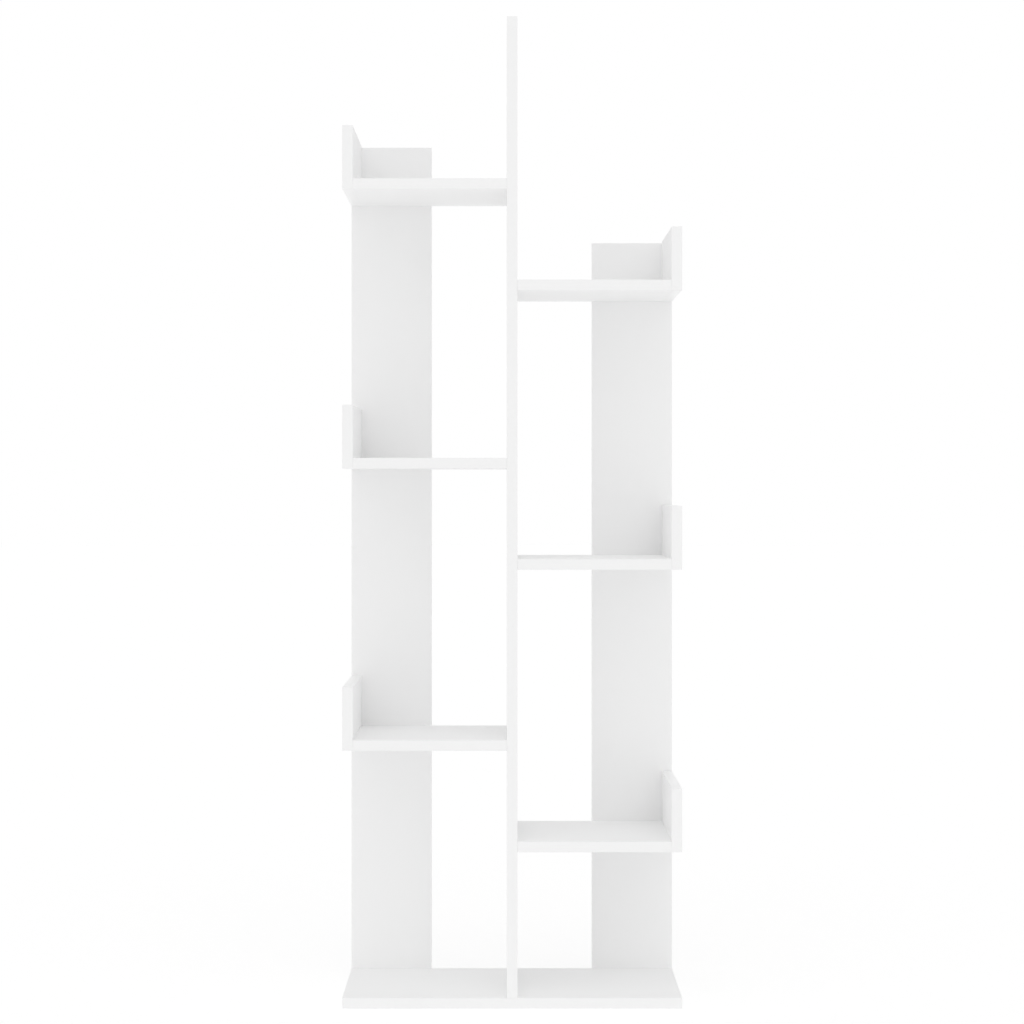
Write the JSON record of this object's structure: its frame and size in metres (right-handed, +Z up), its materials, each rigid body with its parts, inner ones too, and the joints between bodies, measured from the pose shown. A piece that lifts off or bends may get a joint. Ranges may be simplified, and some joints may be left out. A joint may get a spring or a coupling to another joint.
{
  "type": "bookcase",
  "caption": "Tall narrow open bookcase: a centre board on a base board carries staggered shelves with raised end lips on both sides, tied at the rear by narrow back boards.",
  "frame": {"origin": "on the floor, at the middle of the bookcase's width and depth", "axes": "+Z up, -Y towards the front where books go in, +X to the right as seen from the front"},
  "size_m": [0.48, 0.255, 1.4],
  "materials": {
    "white_coating": "smooth white melamine coating with banded edges, satin",
    "zinc_plated_steel": "bright zinc plated",
    "beech": "bare, turned"
  },
  "bodies": {
    "root": {"base_board": "white_coating", "centre_board": "white_coating", "left_back_board": "white_coating", "right_back_board": "white_coating", "left_lower_shelf": "white_coating", "left_middle_shelf": "white_coating", "left_upper_shelf": "white_coating", "right_lower_shelf": "white_coating", "right_middle_shelf": "white_coating", "right_upper_shelf": "white_coating", "left_lower_lip": "white_coating", "left_middle_lip": "white_coating", "left_upper_lip": "white_coating", "right_lower_lip": "white_coating", "right_middle_lip": "white_coating", "right_upper_lip": "white_coating", "centre_base_screw_front": "zinc_plated_steel", "centre_base_screw_rear": "zinc_plated_steel", "left_base_screw_inner": "zinc_plated_steel", "left_base_screw_outer": "zinc_plated_steel", "right_base_screw_inner": "zinc_plated_steel", "right_base_screw_outer": "zinc_plated_steel", "left_lower_back_screw": "zinc_plated_steel", "left_lower_centre_screw_front": "zinc_plated_steel", "left_lower_centre_screw_rear": "zinc_plated_steel", "left_lower_lip_screw_front": "zinc_plated_steel", "left_lower_lip_screw_rear": "zinc_plated_steel", "left_middle_back_screw": "zinc_plated_steel", "left_middle_centre_screw_front": "zinc_plated_steel", "left_middle_centre_screw_rear": "zinc_plated_steel", "left_middle_lip_screw_front": "zinc_plated_steel", "left_middle_lip_screw_rear": "zinc_plated_steel", "left_upper_back_screw": "zinc_plated_steel", "left_upper_centre_screw_front": "zinc_plated_steel", "left_upper_centre_screw_rear": "zinc_plated_steel", "left_upper_lip_screw_front": "zinc_plated_steel", "left_upper_lip_screw_rear": "zinc_plated_steel", "right_lower_back_screw": "zinc_plated_steel", "right_lower_centre_screw_front": "zinc_plated_steel", "right_lower_centre_screw_rear": "zinc_plated_steel", "right_lower_lip_screw_front": "zinc_plated_steel", "right_lower_lip_screw_rear": "zinc_plated_steel", "right_middle_back_screw": "zinc_plated_steel", "right_middle_centre_screw_front": "zinc_plated_steel", "right_middle_centre_screw_rear": "zinc_plated_steel", "right_middle_lip_screw_front": "zinc_plated_steel", "right_middle_lip_screw_rear": "zinc_plated_steel", "right_upper_back_screw": "zinc_plated_steel", "right_upper_centre_screw_front": "zinc_plated_steel", "right_upper_centre_screw_rear": "zinc_plated_steel", "right_upper_lip_screw_front": "zinc_plated_steel", "right_upper_lip_screw_rear": "zinc_plated_steel", "left_lower_lip_dowel": "beech", "left_middle_lip_dowel": "beech", "left_upper_lip_dowel": "beech", "right_lower_lip_dowel": "beech", "right_middle_lip_dowel": "beech", "right_upper_lip_dowel": "beech"}
  },
  "joints": []
}
